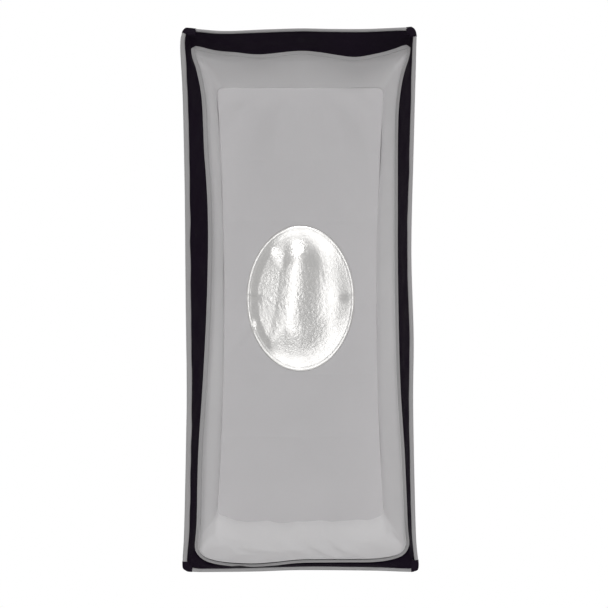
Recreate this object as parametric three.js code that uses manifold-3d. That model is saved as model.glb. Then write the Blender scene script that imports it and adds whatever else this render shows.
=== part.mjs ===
// Strip softbox with a rotating speedring: a fabric box on four bowed rods, its long side upright.
// Units are millimetres. The lamp mounts at the origin: +Y points back to the lamp, the open
// front faces -Y, and +Z is up, along the long side.

import * as THREE from 'three';
import { mergeVertices } from 'three/addons/utils/BufferGeometryUtils.js';
import Module from 'manifold-3d';

const wasm = await Module();
wasm.setup();

// ---- driving dimensions ----

const FRONT_HALF_WIDTH = 230;      // outer edge of the front rim, at its corners
const FRONT_HALF_HEIGHT = 528.5;
const RIM_Y = -430;                // front plane of the rim
const RIM_BOW = 9;                 // the long rim edges bow in by this much at mid-height

const SHELL_THICKNESS = 1.2;
const LINING_THICKNESS = 1.0;
const SHELL_TOP_SAG = 3;           // at the middle of a wall; the bottom ones are slack
const SHELL_BOTTOM_SAG = 34;
const LINING_TOP_SAG = 12;
const LINING_BOTTOM_SAG = 30;
const LINING_SIDE_PULL = 19;
const GAP = 0.4;                   // clearance kept between neighbouring pieces

const ROD_RADIUS = 1.75;
const ROD_TIP_RADIUS = 2.6;
const ROD_TIP_LENGTH = 12;
const ROD_SEAT_DEPTH = 11;         // length of rod inside its socket
const ROD_END_Y = -410;            // the tip cap starts here
const SOCKET_MOUTH_Y = -22;        // the rod leaves its socket here
const SOCKET_CIRCLE_RADIUS = 80;
const SOCKET_ANGLE = THREE.MathUtils.degToRad(60);
const SOCKET_RADIUS = 6;
const SOCKET_HEEL = 15;            // barrel behind the mouth, and past it
const SOCKET_LIP = 5;
const SOCKET_BORE_DEPTH = 12;

// Bow of the rods: how far the middle control point lies towards the front corner, outwards
// and forwards, as a share of the whole way.
const BOW_OUT = 0.73;
const BOW_FORWARD = 0.42;

const RING_INNER_RADIUS = 68.5;
const RING_OUTER_RADIUS = 84;
const RING_FRONT_Y = -14;
const RING_REAR_Y = -1;
const RING_MID_Y = (RING_FRONT_Y + RING_REAR_Y) / 2;
const RING_CHAMFER = 1.5;

const INSERT_RADIUS = 68;
const INSERT_BORE_RADIUS = 44;
const INSERT_FLANGE_THICKNESS = 3;
const INSERT_RIM_INNER_RADIUS = 61;
const COLLAR_RADIUS = 48;
const COLLAR_LENGTH = 14;
const LUG_COUNT = 3;
const LUG_RADIUS = 53;
const LUG_Y = 8;                   // front face of the lugs, and their thickness
const LUG_THICKNESS = 4;
const LUG_ARC = THREE.MathUtils.degToRad(34);
const GROOVE_DEPTH = 3;

const SCREW_RADIUS = 2.4;
const SCREW_POINT_RADIUS = 1.5;    // turned down where it stands in the groove
const SCREW_POINT_LENGTH = 1.2;
const STUD_RADIUS = 3;
const STUD_IN_KNOB = 9;
const SHOE_CLEARANCE = 0.3;        // between the insert, the nylon shoe and the stud
const SHOE_LENGTH = 2;
const SHOE_RADIUS = 2.8;
const KNOB_RADIUS = 14;
const KNOB_THICKNESS = 15;
const KNOB_LOBES = 6;
const KNOB_LOBE_DEPTH = 3.2;
const KNOB_HUB_RADIUS = 6.5;
const KNOB_HUB_LENGTH = 4;
const KNOB_HOLE_DEPTH = 10;
const KNOB_BASE_RADIUS = 90;       // distance of the knob's inner face from the axis
const KNOB_ANGLES = { right: 45, left: 225 };

const BINDING_WIDTH = 8;
const BINDING_DEPTH = 5.4;
const POCKET_LEG_X = 26;
const POCKET_LEG_Z = 34;
const POCKET_WIDTH = 9.5;
const POCKET_PROUD = 1;            // beyond the rim, on every side

const PIPING_Y = -382;
const PIPING_RADIUS = 2.2;

const BAFFLE_HALF_WIDTH = 164;
const BAFFLE_HALF_HEIGHT = 435;
const BAFFLE_Y = -303;
const BAFFLE_DROP = 6;             // the panel hangs a little low
const BAFFLE_THICKNESS = 1.2;
const BAFFLE_CORNER_RADIUS = 36;
const MASK_HALF_WIDTH = 110;
const MASK_HALF_HEIGHT = 148;
const MASK_THICKNESS = 0.8;
const MASK_RISE = 5;               // centre of the oval above the axis
const TAB_WIDTH = 10;
const TAB_THICKNESS = 1.2;
const TAB_LENGTH = 30;
const TAB_FROM_EDGE = 2;
const TAB_FROM_END = 60;

const FLAP_HALF_WIDTH = { level: 56, side: 88 };   // at the hinge
const FLAP_END_HALF_WIDTH = 34;
const FLAP_END_RADIUS = 93;        // the closed flaps lie just outside the ring
const FLAP_END_Y = -5;
const FLAP_THICKNESS = 1.6;
const FLAP_CLEARANCE = 2.5;        // between a wall's rear edge and its flap

// ---- corner line and wall shapes ----

// The corner line is one bowed curve from the socket to the front corner. t runs from 0 at the
// socket's mouth to 1 at the rim.
const RUN_Y = RIM_Y - SOCKET_MOUTH_Y;
const SOCKET_X = SOCKET_CIRCLE_RADIUS * Math.cos(SOCKET_ANGLE);
const SOCKET_Z = SOCKET_CIRCLE_RADIUS * Math.sin(SOCKET_ANGLE);
const bowed = (t, bow) => 2 * bow * t * (1 - t) + t * t;
const bowedRate = (t, bow) => 2 * bow * (1 - 2 * t) + 2 * t;
const depthAt = (t) => SOCKET_MOUTH_Y + RUN_Y * bowed(t, BOW_FORWARD);

// Where the corner line is at a given depth.
function stationAt(y) {
  const share = (y - SOCKET_MOUTH_Y) / RUN_Y;
  const square = 1 - 2 * BOW_FORWARD;
  return (-BOW_FORWARD + Math.sqrt(BOW_FORWARD ** 2 + square * share)) / square;
}

// Perpendicular distances from the shell's outer face to the rod's centre and to the lining.
const ROD_INSET = SHELL_THICKNESS + GAP + ROD_TIP_RADIUS;
const LINING_INSET = ROD_INSET + ROD_TIP_RADIUS + GAP;

// One in-plane coordinate of the corner line, x or z, with the factor that turns a distance
// square to the sloping wall into a distance in the plane of a cross-section.
function cornerCoordinate(socket, front) {
  const rearSlope = ((front - socket) * BOW_OUT) / (RUN_Y * BOW_FORWARD);
  const start = socket + ROD_INSET * Math.hypot(1, rearSlope);
  const reach = front - start;
  return {
    at: (t) => start + reach * bowed(t, BOW_OUT),
    stretch: (t) => Math.hypot(1, (reach * bowedRate(t, BOW_OUT)) / (RUN_Y * bowedRate(t, BOW_FORWARD))),
  };
}
const cornerX = cornerCoordinate(SOCKET_X, FRONT_HALF_WIDTH);
const cornerZ = cornerCoordinate(SOCKET_Z, FRONT_HALF_HEIGHT);
const insetX = (t, inset) => cornerX.at(t) - inset * cornerX.stretch(t);
const insetZ = (t, inset) => cornerZ.at(t) - inset * cornerZ.stretch(t);

const STATION_COUNT = 10;
const REAR_T = 1 / STATION_COUNT;

// How far each wall leaves its flat shape in the middle of its span, along its length: the
// fabric is pulled in at the sides, and hangs at the top and bottom. The lining is pulled in most
// where its baffle stands, and its top hangs only near the front.
const arch = (s) => 1 - s ** 4;
const tautBow = (t) => 4.9 * (t - REAR_T) * (1 - t);
const slack = (t) => Math.min(1, 8 * (1 - t)) * (t - REAR_T);
const nearBaffle = (t) => Math.sin(Math.PI * Math.min(1, 0.58 * t ** 4 + 0.02));
const shellSideBow = (t) => RIM_BOW * t * t;
const shellTopSag = (t) => SHELL_TOP_SAG * tautBow(t);
const shellBottomSag = (t) => SHELL_BOTTOM_SAG * slack(t);
const liningSideBow = (t) => shellSideBow(t) + LINING_SIDE_PULL * nearBaffle(t);
const liningTopSag = (t) => LINING_TOP_SAG * THREE.MathUtils.clamp((t - 0.72) / 0.15, 0, 1);
const liningBottomSag = (t) => LINING_BOTTOM_SAG * slack(t);

// The stations from one t to another, on the tenths in between, so that neighbouring walls
// bend at the same places.
function stationsBetween(first, last) {
  const stations = [first];
  for (let i = 1; i < STATION_COUNT; i++) {
    const t = i / STATION_COUNT;
    if (t > first + 0.02 && t < last - 0.02) stations.push(t);
  }
  stations.push(last);
  return stations;
}

// ---- geometry helpers ----

function signedVolume(geometry) {
  const p = geometry.attributes.position;
  const index = geometry.index.array;
  const [a, b, c] = [new THREE.Vector3(), new THREE.Vector3(), new THREE.Vector3()];
  let sum = 0;
  for (let i = 0; i < index.length; i += 3) {
    a.fromBufferAttribute(p, index[i]);
    b.fromBufferAttribute(p, index[i + 1]);
    c.fromBufferAttribute(p, index[i + 2]);
    sum += a.dot(b.cross(c));
  }
  return sum;
}

// Merge shared vertices and turn the faces outwards.
function closed(source) {
  const bare = source.index ? source : mergeVertices(source);
  bare.deleteAttribute('normal');
  bare.deleteAttribute('uv');
  const geometry = mergeVertices(bare, 1e-4);
  if (signedVolume(geometry) < 0) {
    const index = geometry.index.array;
    for (let i = 0; i < index.length; i += 3) {
      [index[i + 1], index[i + 2]] = [index[i + 2], index[i + 1]];
    }
  }
  return geometry;
}

// A box bent into a wall: place(u, v, w) gives the point for shares of its three sides.
function bentBox(across, along, place) {
  const geometry = new THREE.BoxGeometry(1, 1, 1, across, along, 1);
  const p = geometry.attributes.position;
  for (let i = 0; i < p.count; i++) {
    const q = place(p.getX(i) + 0.5, p.getY(i) + 0.5, p.getZ(i) + 0.5);
    p.setXYZ(i, q.x, q.y, q.z);
  }
  return closed(geometry);
}

// A round bar through the given centres.
function bar(centres, radius, sides) {
  const steps = centres.length - 1;
  const geometry = new THREE.CylinderGeometry(radius, radius, 1, sides, steps);
  const p = geometry.attributes.position;
  const frames = centres.map((centre, i) => {
    const tangent = centres[Math.min(i + 1, steps)].clone().sub(centres[Math.max(i - 1, 0)]).normalize();
    const aside = new THREE.Vector3(0, 1, 0).cross(tangent).normalize();
    return { centre, aside, over: tangent.clone().cross(aside) };
  });
  for (let i = 0; i < p.count; i++) {
    const { centre, aside, over } = frames[Math.round((p.getY(i) + 0.5) * steps)];
    const q = centre.clone().addScaledVector(aside, p.getX(i)).addScaledVector(over, p.getZ(i));
    p.setXYZ(i, q.x, q.y, q.z);
  }
  return closed(geometry);
}

// A turned piece about the Y axis from its outline of [radius, y] points.
function turned(outline, sides) {
  const loop = [...outline, outline[0]].map(([radius, y]) => new THREE.Vector2(radius, y));
  return closed(new THREE.LatheGeometry(loop, sides));
}

const cylinderBetween = (from, to, radius, sides) => bar([from, to], radius, sides);

function toSolid(geometry) {
  const merged = closed(geometry);
  return new wasm.Manifold(new wasm.Mesh({
    numProp: 3,
    vertProperties: new Float32Array(merged.attributes.position.array),
    triVerts: new Uint32Array(merged.index.array),
  }));
}

function fromSolid(solid) {
  const mesh = solid.getMesh();
  const geometry = new THREE.BufferGeometry();
  geometry.setAttribute('position', new THREE.BufferAttribute(new Float32Array(mesh.vertProperties), 3));
  geometry.setIndex(new THREE.BufferAttribute(new Uint32Array(mesh.triVerts), 1));
  return geometry;
}

// A point at a distance from the axis, at an angle from +X towards +Z.
function radial(distance, angle, y) {
  return new THREE.Vector3(distance * Math.cos(angle), y, distance * Math.sin(angle));
}

// ---- materials ----

const paint = (color, roughness, metalness) =>
  new THREE.MeshStandardMaterial({ color, roughness, metalness });
const BLACK_FABRIC = paint(0x18141c, 0.85, 0);
const WHITE_LINING = paint(0xcfcdcd, 0.8, 0);
const BAFFLE_FABRIC = paint(0xb8b6b7, 0.8, 0);
const SILVER_FABRIC = paint(0xa9a9ac, 0.45, 0.4);
const GREY_TAPE = paint(0x98969a, 0.8, 0);
const CAST_ALUMINIUM = paint(0xb9bbbe, 0.4, 1);
const BRIGHT_STEEL = paint(0xb0b2b6, 0.3, 1);
const FIBREGLASS = paint(0xd8d4c4, 0.5, 0);
const BLACK_PLASTIC = paint(0x17171a, 0.45, 0);
const NYLON = paint(0xe4e1d8, 0.6, 0);

const softbox = new THREE.Group();

function add(name, geometry, material) {
  const mesh = new THREE.Mesh(geometry, material);
  mesh.name = name;
  softbox.add(mesh);
}

// ---- bayonet insert and speedring ----

function bayonetInsert() {
  const rimRoot = INSERT_RADIUS - GROOVE_DEPTH;
  const body = toSolid(turned([
    [INSERT_BORE_RADIUS, -INSERT_FLANGE_THICKNESS],
    [INSERT_BORE_RADIUS, COLLAR_LENGTH],
    [COLLAR_RADIUS, COLLAR_LENGTH],
    [COLLAR_RADIUS, 0],
    [INSERT_RADIUS, 0],
    [INSERT_RADIUS, RING_MID_Y + GROOVE_DEPTH],
    [rimRoot, RING_MID_Y],
    [INSERT_RADIUS, RING_MID_Y - GROOVE_DEPTH],
    [INSERT_RADIUS, RING_FRONT_Y],
    [INSERT_RIM_INNER_RADIUS, RING_FRONT_Y],
    [INSERT_RIM_INNER_RADIUS, -INSERT_FLANGE_THICKNESS],
  ], 48));
  let solid = body;
  const root = COLLAR_RADIUS - 1;
  for (let i = 0; i < LUG_COUNT; i++) {
    const middle = (i * 2 * Math.PI) / LUG_COUNT + Math.PI / 2;
    const lug = bentBox(4, 1, (u, v, w) =>
      radial(root + (LUG_RADIUS - root) * w, middle + LUG_ARC * (u - 0.5), LUG_Y + LUG_THICKNESS * v));
    solid = solid.add(toSolid(lug));
  }
  return fromSolid(solid);
}
add('bayonet_insert', bayonetInsert(), BRIGHT_STEEL);

const SCREW_ANGLES = [0, 120, 240].map((degrees) => THREE.MathUtils.degToRad(degrees));
const LOCK_ANGLES = Object.fromEntries(
  Object.entries(KNOB_ANGLES).map(([side, degrees]) => [side, THREE.MathUtils.degToRad(degrees)]));

function speedring() {
  let solid = toSolid(turned([
    [RING_INNER_RADIUS, RING_FRONT_Y],
    [RING_INNER_RADIUS, RING_REAR_Y],
    [RING_OUTER_RADIUS - RING_CHAMFER, RING_REAR_Y],
    [RING_OUTER_RADIUS, RING_REAR_Y - RING_CHAMFER],
    [RING_OUTER_RADIUS, RING_FRONT_Y + RING_CHAMFER],
    [RING_OUTER_RADIUS - RING_CHAMFER, RING_FRONT_Y],
  ], 60));
  const drill = (angle, radius) => {
    const from = radial(RING_INNER_RADIUS - 4, angle, RING_MID_Y);
    const to = radial(RING_OUTER_RADIUS + 4, angle, RING_MID_Y);
    solid = solid.subtract(toSolid(cylinderBetween(from, to, radius, 14)));
  };
  SCREW_ANGLES.forEach((angle) => drill(angle, SCREW_RADIUS + GAP));
  Object.values(LOCK_ANGLES).forEach((angle) => drill(angle, STUD_RADIUS + GAP));
  return fromSolid(solid);
}
add('speedring', speedring(), CAST_ALUMINIUM);

// The tube of metal turned off a set screw's end, so that it clears the sides of the groove.
function screwTurning(angle, inner) {
  const outer = SCREW_RADIUS + 1;
  const tube = turned([
    [SCREW_POINT_RADIUS, -1], [SCREW_POINT_RADIUS, SCREW_POINT_LENGTH],
    [outer, SCREW_POINT_LENGTH], [outer, -1],
  ], 12);
  const outward = radial(1, angle, 0);
  tube.applyQuaternion(new THREE.Quaternion().setFromUnitVectors(new THREE.Vector3(0, 1, 0), outward));
  tube.translate(...radial(inner, angle, RING_MID_Y).toArray());
  return tube;
}

// Set screws whose ends stand in the insert's V groove and keep it in the ring.
SCREW_ANGLES.forEach((angle, i) => {
  const inner = INSERT_RADIUS - 1;
  const screw = toSolid(cylinderBetween(
    radial(inner, angle, RING_MID_Y), radial(RING_OUTER_RADIUS - 0.5, angle, RING_MID_Y),
    SCREW_RADIUS, 12));
  const pointed = screw.subtract(toSolid(screwTurning(angle, inner)));
  add(`set_screw_${i + 1}`, fromSolid(pointed), BRIGHT_STEEL);
});

// ---- locking knobs ----

// A knob with round lobes, a hub towards the ring and a blind hole for its stud.
function lockKnob(angle) {
  const outline = new THREE.Shape();
  const points = 36;
  for (let i = 0; i <= points; i++) {
    const turn = (i / points) * 2 * Math.PI;
    const radius = KNOB_RADIUS - (KNOB_LOBE_DEPTH / 2) * (1 - Math.cos(KNOB_LOBES * turn));
    const [x, y] = [radius * Math.cos(turn), radius * Math.sin(turn)];
    if (i === 0) outline.moveTo(x, y);
    else if (i < points) outline.lineTo(x, y);
  }
  const headLength = KNOB_THICKNESS - KNOB_HUB_LENGTH;
  const head = new THREE.ExtrudeGeometry(outline, { depth: headLength, bevelEnabled: false });
  head.translate(0, 0, KNOB_HUB_LENGTH);
  const hub = new THREE.CylinderGeometry(KNOB_HUB_RADIUS, KNOB_HUB_RADIUS, KNOB_HUB_LENGTH + 2, 20);
  hub.rotateX(Math.PI / 2);
  hub.translate(0, 0, KNOB_HUB_LENGTH / 2 + 1);
  const hole = new THREE.CylinderGeometry(STUD_RADIUS + GAP, STUD_RADIUS + GAP, KNOB_HOLE_DEPTH + 2, 14);
  hole.rotateX(Math.PI / 2);
  hole.translate(0, 0, KNOB_HOLE_DEPTH / 2 - 1);
  const geometry = fromSolid(toSolid(head).add(toSolid(hub)).subtract(toSolid(hole)));
  const outward = radial(1, angle, 0);
  geometry.applyQuaternion(new THREE.Quaternion().setFromUnitVectors(new THREE.Vector3(0, 0, 1), outward));
  geometry.translate(...radial(KNOB_BASE_RADIUS, angle, RING_MID_Y).toArray());
  return geometry;
}

for (const [side, angle] of Object.entries(LOCK_ANGLES)) {
  const along = (distance) => radial(distance, angle, RING_MID_Y);
  const shoeFrom = INSERT_RADIUS + SHOE_CLEARANCE;
  const shoeTo = shoeFrom + SHOE_LENGTH;
  const studTo = KNOB_BASE_RADIUS + STUD_IN_KNOB;
  add(`lock_shoe_${side}`, cylinderBetween(along(shoeFrom), along(shoeTo), SHOE_RADIUS, 14), NYLON);
  add(`lock_stud_${side}`,
    cylinderBetween(along(shoeTo + SHOE_CLEARANCE), along(studTo), STUD_RADIUS, 14), BRIGHT_STEEL);
  add(`lock_knob_${side}`, lockKnob(angle), BLACK_PLASTIC);
}

// ---- rods, sockets and tips, one of each per corner ----

const CORNERS = [[1, 1], [-1, 1], [-1, -1], [1, -1]];

function rodCentre(t, sideX, sideZ) {
  return new THREE.Vector3(sideX * insetX(t, ROD_INSET), depthAt(t), sideZ * insetZ(t, ROD_INSET));
}

// A short barrel on the ring's front face, bored for the rod.
function rodSocket(mouth, direction) {
  const along = (distance) => mouth.clone().addScaledVector(direction, distance);
  const barrel = toSolid(cylinderBetween(along(-SOCKET_HEEL), along(SOCKET_LIP), SOCKET_RADIUS, 16));
  const bore = toSolid(cylinderBetween(
    along(-SOCKET_BORE_DEPTH), along(SOCKET_LIP + 4), ROD_RADIUS + GAP, 12));
  const room = new THREE.BoxGeometry(60, 40, 60);
  room.translate(mouth.x, RING_FRONT_Y - GAP - 20, mouth.z);
  return fromSolid(barrel.subtract(bore).intersect(toSolid(room)));
}

CORNERS.forEach(([sideX, sideZ], i) => {
  const mouth = rodCentre(0, sideX, sideZ);
  const direction = rodCentre(0.01, sideX, sideZ).sub(mouth).normalize();
  add(`rod_socket_${i + 1}`, rodSocket(mouth, direction), CAST_ALUMINIUM);

  const endT = stationAt(ROD_END_Y);
  const centres = [mouth.clone().addScaledVector(direction, -ROD_SEAT_DEPTH), mouth];
  stationsBetween(REAR_T, endT).forEach((t) => centres.push(rodCentre(t, sideX, sideZ)));
  add(`rod_${i + 1}`, bar(centres, ROD_RADIUS, 8), FIBREGLASS);

  // The tip cap continues the rod to the pocket.
  const end = centres.at(-1);
  const ahead = rodCentre(endT + 0.01, sideX, sideZ).sub(end).normalize();
  const tipFrom = end.clone().addScaledVector(ahead, GAP);
  const tipTo = end.clone().addScaledVector(ahead, ROD_TIP_LENGTH);
  add(`rod_tip_${i + 1}`, cylinderBetween(tipFrom, tipTo, ROD_TIP_RADIUS, 12), BLACK_PLASTIC);
});

// ---- walls: outer shell, lining and lip ----

// Spaces a wall's points closer at its two ends, where it bends most.
const towardsEnds = (s) => Math.sign(s) * Math.abs(s) ** 0.6;

// A top or bottom wall between two stations, at an inset from the shell's outer face.
function levelWall(side, first, last, inset, thickness, sag) {
  const stations = stationsBetween(first, last);
  return bentBox(6, stations.length - 1, (u, v, w) => {
    const t = stations[Math.round(v * (stations.length - 1))];
    const s = towardsEnds(2 * u - 1);
    const drop = sag(t) * arch(s);
    return new THREE.Vector3(
      s * insetX(t, inset), depthAt(t), side * insetZ(t, inset + w * thickness) - drop);
  });
}

// A left or right wall, ending just inside the top and bottom walls.
function sideWall(side, first, last, inset, thickness, bow) {
  const stations = stationsBetween(first, last);
  return bentBox(8, stations.length - 1, (u, v, w) => {
    const t = stations[Math.round(v * (stations.length - 1))];
    const s = 2 * u - 1;
    return new THREE.Vector3(
      side * (insetX(t, inset + w * thickness) - bow(t) * arch(s)),
      depthAt(t),
      s * insetZ(t, inset + thickness + GAP));
  });
}

function addWalls(name, first, last, inset, thickness, material, sagTop, sagBottom, bow) {
  add(`${name}_top`, levelWall(1, first, last, inset, thickness, sagTop), material);
  add(`${name}_bottom`, levelWall(-1, first, last, inset, thickness, sagBottom), material);
  add(`${name}_left`, sideWall(-1, first, last, inset, thickness, bow), material);
  add(`${name}_right`, sideWall(1, first, last, inset, thickness, bow), material);
}

const FRONT_T = stationAt(RIM_Y + BINDING_DEPTH + GAP);
const PIPING_T = stationAt(PIPING_Y);
const LINING_FRONT_T = stationAt(PIPING_Y + PIPING_RADIUS + 2 * GAP);
const LIP_REAR_T = stationAt(PIPING_Y - PIPING_RADIUS - 2 * GAP);
const LINING_REAR_T = REAR_T + 0.03;

addWalls('shell', REAR_T, FRONT_T, 0, SHELL_THICKNESS, BLACK_FABRIC,
  shellTopSag, shellBottomSag, shellSideBow);
addWalls('lining', LINING_REAR_T, LINING_FRONT_T, LINING_INSET, LINING_THICKNESS, WHITE_LINING,
  liningTopSag, liningBottomSag, liningSideBow);
addWalls('lip', LIP_REAR_T, FRONT_T, LINING_INSET, LINING_THICKNESS, BLACK_FABRIC,
  liningTopSag, liningBottomSag, liningSideBow);

// Piping along the joint of lip and lining, following the walls' middle surface.
const PIPING_INSET = LINING_INSET + LINING_THICKNESS / 2;

function pipingRun(place) {
  const steps = 10;
  const centres = [];
  for (let i = 0; i <= steps; i++) centres.push(place((2 * i) / steps - 1));
  return bar(centres, PIPING_RADIUS, 8);
}

for (const [name, side, sag] of [['top', 1, liningTopSag], ['bottom', -1, liningBottomSag]]) {
  const half = insetX(PIPING_T, PIPING_INSET) - PIPING_RADIUS - 1;
  add(`piping_${name}`, pipingRun((s) => new THREE.Vector3(
    s * half, PIPING_Y, side * insetZ(PIPING_T, PIPING_INSET) - sag(PIPING_T) * arch(s))), GREY_TAPE);
}
for (const [name, side] of [['left', -1], ['right', 1]]) {
  const half = insetZ(PIPING_T, PIPING_INSET) - 2 * PIPING_RADIUS - 2;
  const middle = insetX(PIPING_T, PIPING_INSET);
  add(`piping_${name}`, pipingRun((s) => new THREE.Vector3(
    side * (middle - liningSideBow(PIPING_T) * arch(s)), PIPING_Y, s * half)), GREY_TAPE);
}

// ---- front rim: binding tape and corner pockets ----

const rimX = (z) => FRONT_HALF_WIDTH - RIM_BOW * arch(z / FRONT_HALF_HEIGHT);

for (const [name, side] of [['top', 1], ['bottom', -1]]) {
  const half = FRONT_HALF_WIDTH - POCKET_LEG_X - GAP;
  add(`rim_binding_${name}`, bentBox(1, 1, (u, v, w) => {
    const z = side * (FRONT_HALF_HEIGHT - BINDING_WIDTH * w);
    return new THREE.Vector3((2 * u - 1) * half, RIM_Y + BINDING_DEPTH * v, z);
  }), GREY_TAPE);
}
for (const [name, side] of [['left', -1], ['right', 1]]) {
  const half = FRONT_HALF_HEIGHT - POCKET_LEG_Z - GAP;
  add(`rim_binding_${name}`, bentBox(8, 1, (u, v, w) => {
    const z = (2 * u - 1) * half;
    return new THREE.Vector3(side * (rimX(z) - BINDING_WIDTH * w), RIM_Y + BINDING_DEPTH * v, z);
  }), GREY_TAPE);
}

// A folded corner pocket: an angle of doubled fabric round the rim's corner.
function cornerPocket(sideX, sideZ) {
  const outline = new THREE.Shape();
  const [x, z] = [FRONT_HALF_WIDTH + POCKET_PROUD, FRONT_HALF_HEIGHT + POCKET_PROUD];
  const [endX, endZ] = [x - POCKET_LEG_X - POCKET_PROUD, z - POCKET_LEG_Z - POCKET_PROUD];
  outline.moveTo(x, z);
  outline.lineTo(endX, z);
  outline.lineTo(endX, z - POCKET_WIDTH);
  outline.lineTo(x - POCKET_WIDTH, z - POCKET_WIDTH);
  outline.lineTo(x - POCKET_WIDTH, endZ);
  outline.lineTo(x, endZ);
  const depth = BINDING_DEPTH + POCKET_PROUD;
  const geometry = new THREE.ExtrudeGeometry(outline, { depth, bevelEnabled: false });
  geometry.rotateX(Math.PI / 2);
  geometry.translate(0, RIM_Y + BINDING_DEPTH, 0);
  geometry.scale(sideX, 1, sideZ);
  return closed(geometry);
}
CORNERS.forEach(([sideX, sideZ], i) => {
  add(`corner_pocket_${i + 1}`, cornerPocket(sideX, sideZ), BLACK_FABRIC);
});

// ---- inner baffle with its oval mask and tabs ----

function innerBaffle() {
  const outline = new THREE.Shape();
  const [x, z, r] = [BAFFLE_HALF_WIDTH, BAFFLE_HALF_HEIGHT, BAFFLE_CORNER_RADIUS];
  outline.absarc(x - r, z - r, r, 0, Math.PI / 2);
  outline.absarc(r - x, z - r, r, Math.PI / 2, Math.PI);
  outline.absarc(r - x, r - z, r, Math.PI, 1.5 * Math.PI);
  outline.absarc(x - r, r - z, r, 1.5 * Math.PI, 2 * Math.PI);
  const geometry = new THREE.ExtrudeGeometry(outline, {
    depth: BAFFLE_THICKNESS, bevelEnabled: false, curveSegments: 4,
  });
  geometry.rotateX(Math.PI / 2);
  geometry.translate(0, BAFFLE_Y + BAFFLE_THICKNESS, -BAFFLE_DROP);
  return closed(geometry);
}
add('inner_baffle', innerBaffle(), BAFFLE_FABRIC);

function centerMask() {
  const outline = new THREE.Shape();
  outline.absellipse(0, 0, MASK_HALF_WIDTH, MASK_HALF_HEIGHT, 0, 2 * Math.PI);
  const geometry = new THREE.ExtrudeGeometry(outline, {
    depth: MASK_THICKNESS, bevelEnabled: false, curveSegments: 20,
  });
  geometry.rotateX(Math.PI / 2);
  geometry.translate(0, BAFFLE_Y - GAP, MASK_RISE);
  return closed(geometry);
}
add('center_mask', centerMask(), SILVER_FABRIC);

CORNERS.forEach(([sideX, sideZ], i) => {
  const tab = new THREE.BoxGeometry(TAB_WIDTH, TAB_THICKNESS, TAB_LENGTH);
  tab.translate(
    sideX * (BAFFLE_HALF_WIDTH - TAB_WIDTH / 2 - TAB_FROM_EDGE),
    BAFFLE_Y + BAFFLE_THICKNESS + GAP + TAB_THICKNESS / 2,
    sideZ * (BAFFLE_HALF_HEIGHT - TAB_FROM_END) - BAFFLE_DROP);
  add(`baffle_tab_${i + 1}`, closed(tab), BLACK_FABRIC);
});

// ---- rear flaps, closed round the speedring ----

const HINGE_Y = depthAt(REAR_T) + FLAP_CLEARANCE;

// A flap runs back from the rear edge of its wall to the ring. across is the direction along
// its hinge, outward the direction away from the axis.
function rearFlap(across, outward, hingeRadius, hingeHalf) {
  const back = new THREE.Vector3(0, FLAP_END_Y - HINGE_Y, 0);
  back.addScaledVector(outward, FLAP_END_RADIUS - hingeRadius);
  const normal = across.clone().cross(back).normalize();
  if (normal.dot(outward) < 0) normal.negate();
  return bentBox(1, 1, (u, v, w) => {
    const half = hingeHalf + (FLAP_END_HALF_WIDTH - hingeHalf) * v;
    return outward.clone().multiplyScalar(hingeRadius)
      .add(new THREE.Vector3(0, HINGE_Y, 0))
      .addScaledVector(across, (2 * u - 1) * half)
      .addScaledVector(back, v)
      .addScaledVector(normal, (w - 1) * FLAP_THICKNESS);
  });
}

const X = new THREE.Vector3(1, 0, 0);
const Z = new THREE.Vector3(0, 0, 1);
for (const [name, across, outward, corner, half] of [
  ['top', X, Z, cornerZ, FLAP_HALF_WIDTH.level],
  ['bottom', X, Z.clone().negate(), cornerZ, FLAP_HALF_WIDTH.level],
  ['left', Z, X.clone().negate(), cornerX, FLAP_HALF_WIDTH.side],
  ['right', Z, X, cornerX, FLAP_HALF_WIDTH.side],
]) {
  add(`rear_flap_${name}`, rearFlap(across, outward, corner.at(REAR_T), half), BLACK_FABRIC);
}

export default softbox;
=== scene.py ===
from math import cos, exp, hypot, pi, radians, sin, sqrt

import bmesh
import bpy
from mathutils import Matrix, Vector, noise


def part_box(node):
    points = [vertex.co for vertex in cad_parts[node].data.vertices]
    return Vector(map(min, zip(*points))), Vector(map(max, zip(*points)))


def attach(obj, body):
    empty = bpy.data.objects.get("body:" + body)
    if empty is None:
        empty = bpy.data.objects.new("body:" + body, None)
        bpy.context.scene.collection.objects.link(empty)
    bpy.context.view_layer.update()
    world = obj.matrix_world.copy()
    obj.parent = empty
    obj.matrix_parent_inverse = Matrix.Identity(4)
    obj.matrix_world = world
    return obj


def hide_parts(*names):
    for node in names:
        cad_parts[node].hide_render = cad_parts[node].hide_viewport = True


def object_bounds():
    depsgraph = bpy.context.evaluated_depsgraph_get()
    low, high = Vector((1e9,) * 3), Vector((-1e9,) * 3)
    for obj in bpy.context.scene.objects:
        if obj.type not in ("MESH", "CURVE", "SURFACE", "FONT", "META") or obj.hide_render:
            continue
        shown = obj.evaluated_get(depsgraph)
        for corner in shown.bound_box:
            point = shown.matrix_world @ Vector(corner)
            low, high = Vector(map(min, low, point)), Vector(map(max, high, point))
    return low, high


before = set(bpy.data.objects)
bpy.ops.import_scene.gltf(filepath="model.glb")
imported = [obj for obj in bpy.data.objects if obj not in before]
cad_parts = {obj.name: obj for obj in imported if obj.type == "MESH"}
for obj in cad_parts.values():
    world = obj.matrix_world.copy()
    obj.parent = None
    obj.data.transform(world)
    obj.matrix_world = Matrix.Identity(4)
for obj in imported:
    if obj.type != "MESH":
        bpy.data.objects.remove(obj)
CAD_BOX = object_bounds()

# ---- camera and light ----
# A small studio: an even surround with a white backdrop, a large soft light high in front of the
# box, a broad weak panel close to the camera's line, which the foil mirrors, a low fill, and a
# light at each side and behind, which show the folds of the black shell.

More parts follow.
